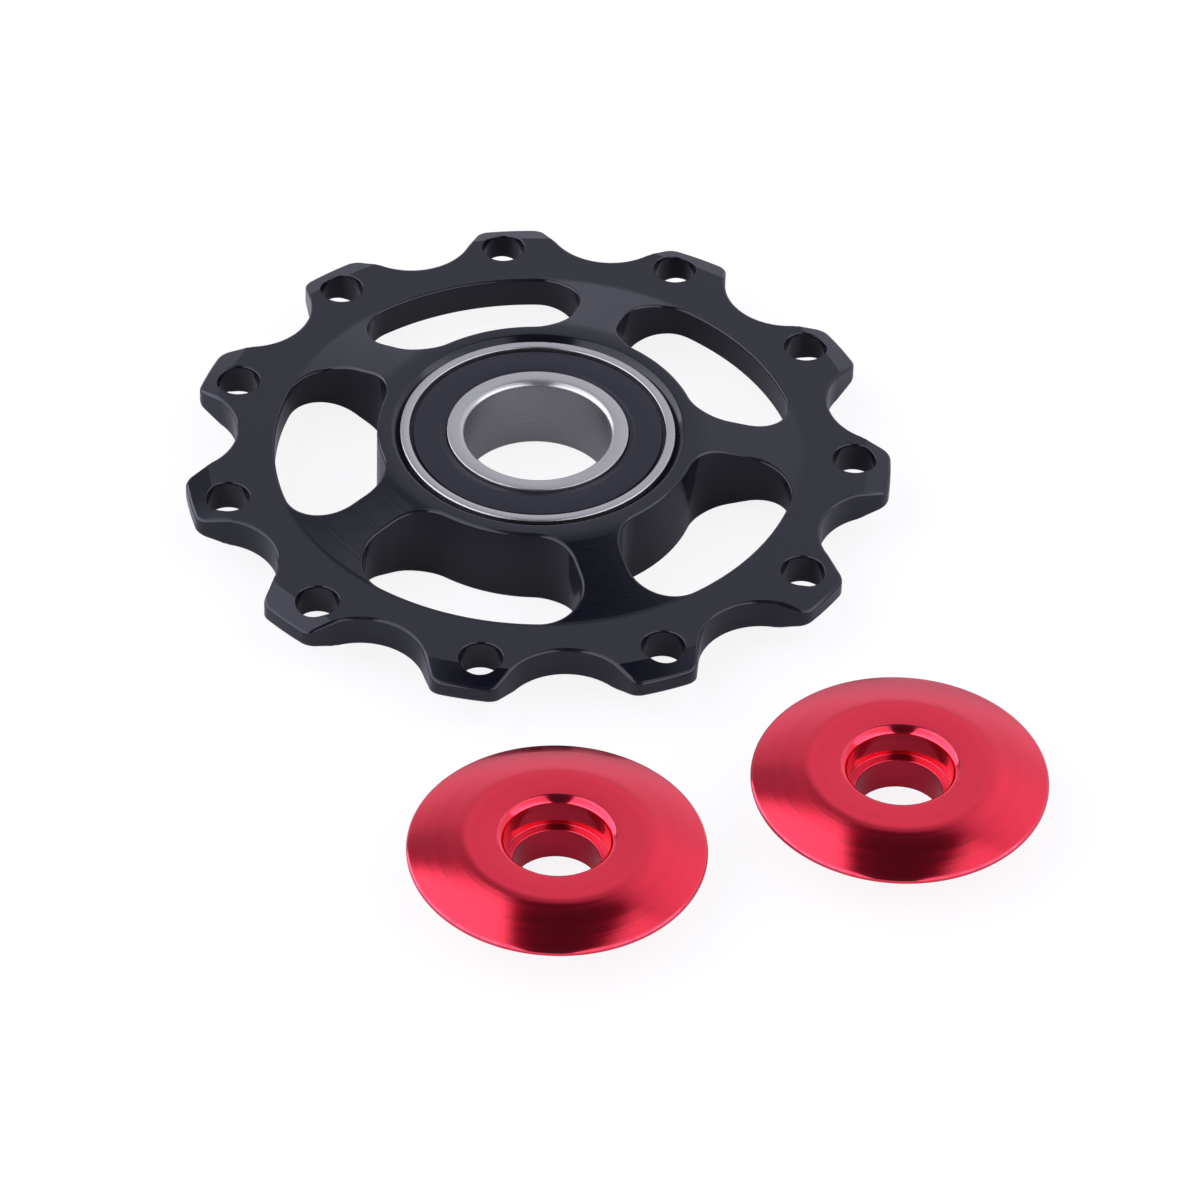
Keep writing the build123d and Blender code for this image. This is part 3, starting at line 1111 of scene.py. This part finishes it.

# %% [markdown]
# ### Ground and honed steel
# The bearing's rings are hard steel, ground bright on the faces with hair-fine rings. The bore is honed, so it is
# duller and more uneven, and its colour is darkened as painted shade. There the marks show as tone and not as bump,
# which would only glitter at this size.

# %% Ground and honed steel
steel_low, steel_high, steel_stain = (0.53, 0.53, 0.49), (0.63, 0.63, 0.58), (0.44, 0.435, 0.40)
# The bore's colours are darkened as painted shade; its higher roughness is the real hone.
honed_and_shaded_low, honed_and_shaded_high = (0.23, 0.225, 0.225), (0.62, 0.61, 0.61)
ground_steel, shader, place = new_material("ground_steel")
marks = place_group(turning_marks, place, Spacing=0.09 * mm)
grain = place_group(fine_grain, place, Size=0.2 * mm)
tint = blend_colours(marks["Tone"], steel_low, steel_high)
stain = vary(grain["Patches"], 0.0, 0.35)
colour = blend_colours(stain, tint, steel_stain)
rough = calc("MULTIPLY_ADD", grain["Tone"], 0.12, vary(marks["Tone"], 0.20, 0.28))
wire(shader, colour, rough, bump(marks["Height"], 0.003 * mm, 0.15), metallic=1.0)

bore_steel_painted_shade, shader, place = new_material("bore_steel_painted_shade")
marks = place_group(turning_marks, place, Spacing=0.07 * mm)
grain = place_group(fine_grain, place, Size=0.12 * mm)
honed = calc("MULTIPLY_ADD", grain["Height"], 0.5, calc("MULTIPLY", marks["Height"], 0.5))
colour = blend_colours(honed, honed_and_shaded_low, honed_and_shaded_high)
wire(shader, colour, vary(grain["Tone"], 0.28, 0.40), metallic=1.0)

dress(outer_ring, ground_steel)
dress(inner_ring, ground_steel, bore_steel_painted_shade)
# The faces in the bore take the steel darkened as painted shade.
honed_and_shaded_faces = give_faces(inner_ring, bore_slot, lambda f: radius_of(f.center) < bore_radius + 0.01)
print(honed_and_shaded_faces, "honed faces in the bore")

# %% [markdown]
# ### Rubber
# The seals are moulded in matt black rubber. The mould was turned, so its faint rings are on the rubber too, under a
# much finer grain that spreads the light.

# %% Rubber
rubber_dark, rubber_pale = (0.0020, 0.0020, 0.0070), (0.0045, 0.0045, 0.0105)
matt_rubber, shader, place = new_material("matt_rubber")
marks = place_group(turning_marks, place, Spacing=0.2 * mm)
grain = place_group(fine_grain, place, Size=0.12 * mm)
colour = blend_colours(grain["Patches"], rubber_dark, rubber_pale)
relief = calc("MULTIPLY_ADD", marks["Height"], 0.6, grain["Height"])
wire(shader, colour, vary(grain["Tone"], 0.42, 0.58), bump(relief, 0.01 * mm, 0.35))
dress(top_seal, matt_rubber)
dress(bottom_seal, matt_rubber)

# %% [markdown]
# ### Balls and cage
# Between the seals, out of sight, run polished balls with faint smudges, in a cage of cream nylon. They are CAD nodes,
# so their shape stays and only the material in their slots changes.

# %% Balls and cage
polished_low, polished_high = (0.62, 0.62, 0.64), (0.70, 0.70, 0.71)
nylon_dark, nylon_pale = (0.60, 0.55, 0.43), (0.70, 0.66, 0.55)
polished_steel, shader, place = new_material("polished_steel")
grain = place_group(fine_grain, place, Size=0.3 * mm)
colour = blend_colours(grain["Patches"], polished_low, polished_high)
wire(shader, colour, vary(grain["Tone"], 0.05, 0.14), metallic=1.0)

cream_nylon, shader, place = new_material("cream_nylon")
grain = place_group(fine_grain, place, Size=0.15 * mm)
colour = blend_colours(grain["Patches"], nylon_dark, nylon_pale)
wire(shader, colour, vary(grain["Tone"], 0.38, 0.55), bump(grain["Height"], 0.008 * mm, 0.3))

for name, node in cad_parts.items():
    if name.startswith("ball_"):
        for slot in node.material_slots:
            slot.material = cream_nylon if name == "ball_cage" else polished_steel
print("finishes:", sorted(m.name for m in bpy.data.materials if m.users))

# %% [markdown]
# ## The view
# The colours are meant to come out as they are written, so the view is set to Standard.

# %% Set the view
bpy.context.scene.view_settings.view_transform = "Standard"
